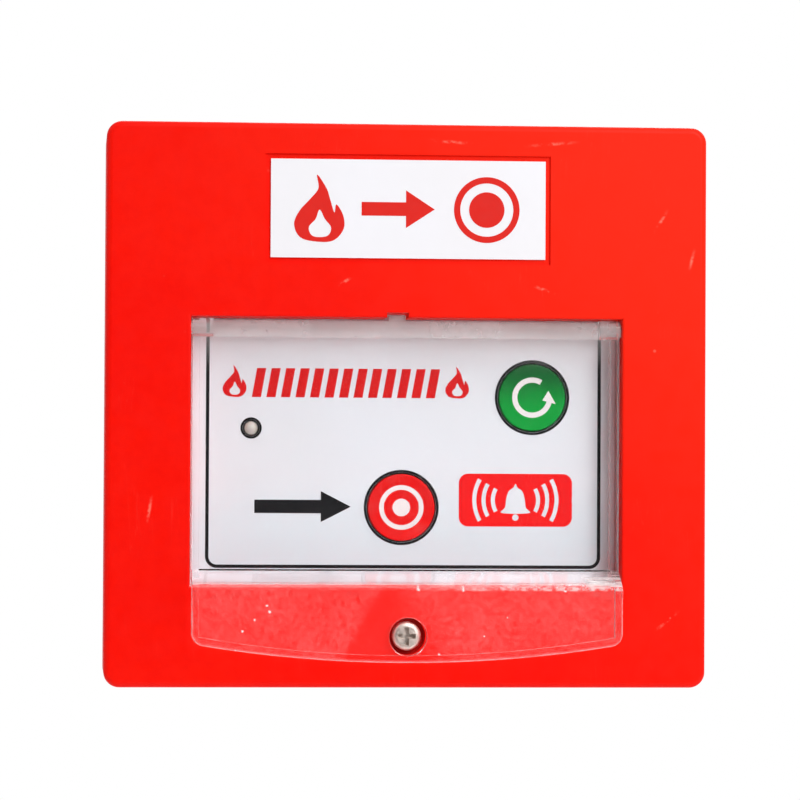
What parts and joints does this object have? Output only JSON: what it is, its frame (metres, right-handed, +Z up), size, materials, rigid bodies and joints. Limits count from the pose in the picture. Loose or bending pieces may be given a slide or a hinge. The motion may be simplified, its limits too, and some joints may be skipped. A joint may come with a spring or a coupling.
{
  "type": "manual call point",
  "caption": "Wall-mounted red fire alarm call point: box and windowed cover, clear hinged flap over a white panel with press and reset keys and an indicator lamp.",
  "frame": {"origin": "centre of the four wall screw holes, on the wall plane behind the back box", "axes": "+X to the right seen from the front, +Z up, +Y into the wall; the front faces -Y"},
  "size_m": [0.115, 0.052, 0.1076],
  "materials": {
    "box_plastic": "fine satin moulding texture",
    "cover_plastic": "semi-gloss, lightly scuffed",
    "plug_rubber": "matt",
    "brass": "turned",
    "zinc_screw": "zinc plated",
    "label_face": "satin printed film",
    "clear_plastic": "clear moulded plastic, dusty",
    "white_plastic": "satin",
    "printed_film": "satin printed film",
    "board_laminate": "solder mask",
    "black_plastic": "moulded",
    "tinned_pin": "tinned",
    "key_red": "satin",
    "key_green": "satin",
    "spring_steel": "drawn wire",
    "lamp_lens": "milky epoxy",
    "terminal_green": "moulded",
    "resistor_body": "lacquered",
    "capacitor_sleeve": "sleeve",
    "diode_glass": "moulded epoxy"
  },
  "bodies": {
    "housing": {"back_box": "box_plastic", "entry_plug": "plug_rubber", "front_cover": "cover_plastic", "top_label": "label_face", "cover_insert": "brass", "cover_screw": "zinc_screw", "panel_plate": "white_plastic", "panel_overlay": "printed_film", "panel_screws": "zinc_screw", "board_screws": "zinc_screw", "circuit_board": "board_laminate", "led_lamp": "lamp_lens", "led_spacer": "black_plastic", "led_leads": "tinned_pin", "terminal_block": "terminal_green", "terminal_clamps": "tinned_pin", "terminal_screws": "zinc_screw", "terminal_pins": "tinned_pin", "resistors": "resistor_body", "resistor_leads": "tinned_pin", "diode": "diode_glass", "diode_leads": "tinned_pin", "thyristor": "black_plastic", "thyristor_leads": "tinned_pin", "capacitor": "capacitor_sleeve", "capacitor_leads": "tinned_pin", "press_switch_spring": "spring_steel", "press_switch_base": "black_plastic", "press_switch_pins": "tinned_pin", "reset_switch_spring": "spring_steel", "reset_switch_base": "black_plastic", "reset_switch_pins": "tinned_pin"},
    "flap": {"flap": "clear_plastic"},
    "press_key": {"press_key_cap": "key_red", "press_switch_plunger": "white_plastic"},
    "reset_key": {"reset_key_cap": "key_green", "reset_switch_plunger": "white_plastic"}
  },
  "joints": [
    {"name": "flap_hinge", "type": "hinge", "parent": "housing", "child": "flap", "pos_m": [0, -0.045, 0.0146], "axis": [-1, 0, 0], "range_deg": [0, 105]},
    {"name": "press_key_travel", "type": "slide", "parent": "housing", "child": "press_key", "axis": [0, 1, 0], "range_m": [0, 0.0015], "stiffness_N_per_m": 400, "springref_m": -0.0015, "deforming": ["press_switch_spring"]},
    {"name": "reset_key_travel", "type": "slide", "parent": "housing", "child": "reset_key", "axis": [0, 1, 0], "range_m": [0, 0.0015], "stiffness_N_per_m": 400, "springref_m": -0.0015, "deforming": ["reset_switch_spring"]}
  ]
}
